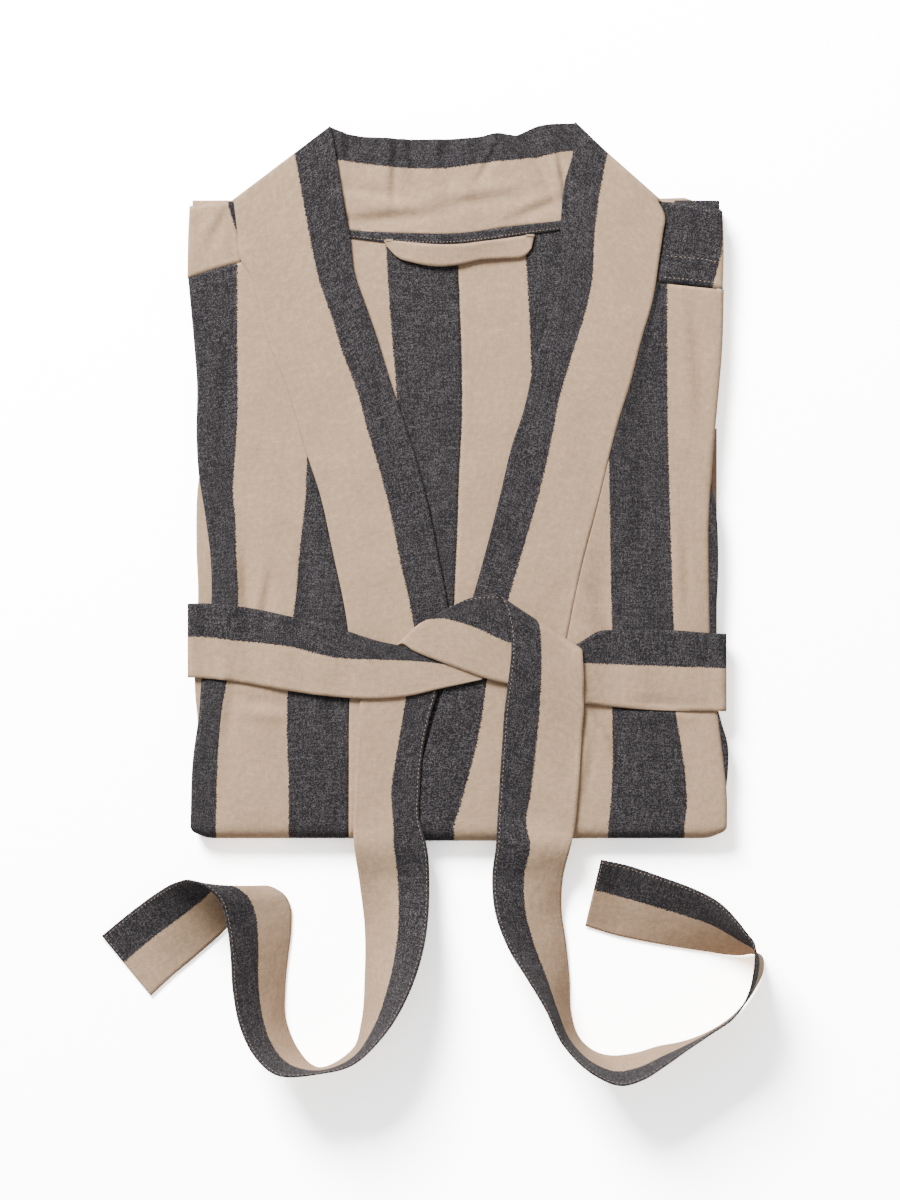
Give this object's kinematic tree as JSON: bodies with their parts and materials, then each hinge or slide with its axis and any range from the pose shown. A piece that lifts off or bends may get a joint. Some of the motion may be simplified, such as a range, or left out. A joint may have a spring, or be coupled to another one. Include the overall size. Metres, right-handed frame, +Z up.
{
  "type": "bathrobe",
  "caption": "Folded kimono bathrobe in broad stripes, tied round the waist with its own cloth belt, with a wide neckband and a hanger loop.",
  "frame": {"origin": "on the underside, where the folded robe rests, at the middle of its width and half way up the folded body", "axes": "+Z up out of the robe's front face as it lies folded, +Y from the waist to the collar, +X to the right seen from the front"},
  "size_m": [0.5004, 0.7183, 0.0595],
  "materials": {
    "robe_cloth": "matte woven cotton, broad charcoal and sand stripes",
    "neckband_cloth": "matte woven cotton, sand with a charcoal edge",
    "belt_cloth": "matte woven cotton, half charcoal and half sand",
    "dark_cloth": "matte woven cotton, charcoal",
    "sand_cloth": "matte woven cotton, sand",
    "thread": "matte sewing thread"
  },
  "bodies": {
    "robe": {"back_panel": "robe_cloth", "left_front": "robe_cloth", "right_front": "robe_cloth", "left_sleeve": "robe_cloth", "right_sleeve": "robe_cloth", "left_pocket": "robe_cloth", "right_pocket": "robe_cloth", "neckband_left": "neckband_cloth", "neckband_right": "neckband_cloth", "neckband_back": "neckband_cloth", "neck_tape": "dark_cloth", "left_belt_loop": "dark_cloth", "right_belt_loop": "dark_cloth", "belt_left_run": "belt_cloth", "belt_right_run": "belt_cloth", "belt_back_run": "belt_cloth", "knot_band": "belt_cloth", "knot_loop": "belt_cloth", "left_tail_top": "belt_cloth", "right_tail_top": "belt_cloth", "hanger_loop_bartacks": "thread", "belt_loop_bartacks": "thread", "pocket_bartacks": "thread", "neckband_left_stitching": "thread", "neckband_right_stitching": "thread", "left_shoulder_stitching": "thread", "right_shoulder_stitching": "thread"},
    "loop": {"hanger_loop": "sand_cloth"},
    "left_tail": {"left_tail_drop": "belt_cloth", "left_tail_bend": "belt_cloth", "left_tail_end": "belt_cloth"},
    "right_tail": {"right_tail_drop": "belt_cloth", "right_tail_bend": "belt_cloth", "right_tail_end": "belt_cloth"}
  },
  "joints": [
    {"name": "loop_flip", "type": "hinge", "parent": "robe", "child": "loop", "pos_m": [0, 0.2097, 0.0202], "axis": [-1, 0, 0], "range_deg": [0, 100]},
    {"name": "left_tail_lift", "type": "hinge", "parent": "robe", "child": "left_tail", "pos_m": [-0.05, -0.24165, 0.0238], "axis": [-1, 0, 0], "range_deg": [0, 60]},
    {"name": "right_tail_lift", "type": "hinge", "parent": "robe", "child": "right_tail", "pos_m": [0.057, -0.24165, 0.0256], "axis": [-1, 0, 0], "range_deg": [0, 60]}
  ]
}
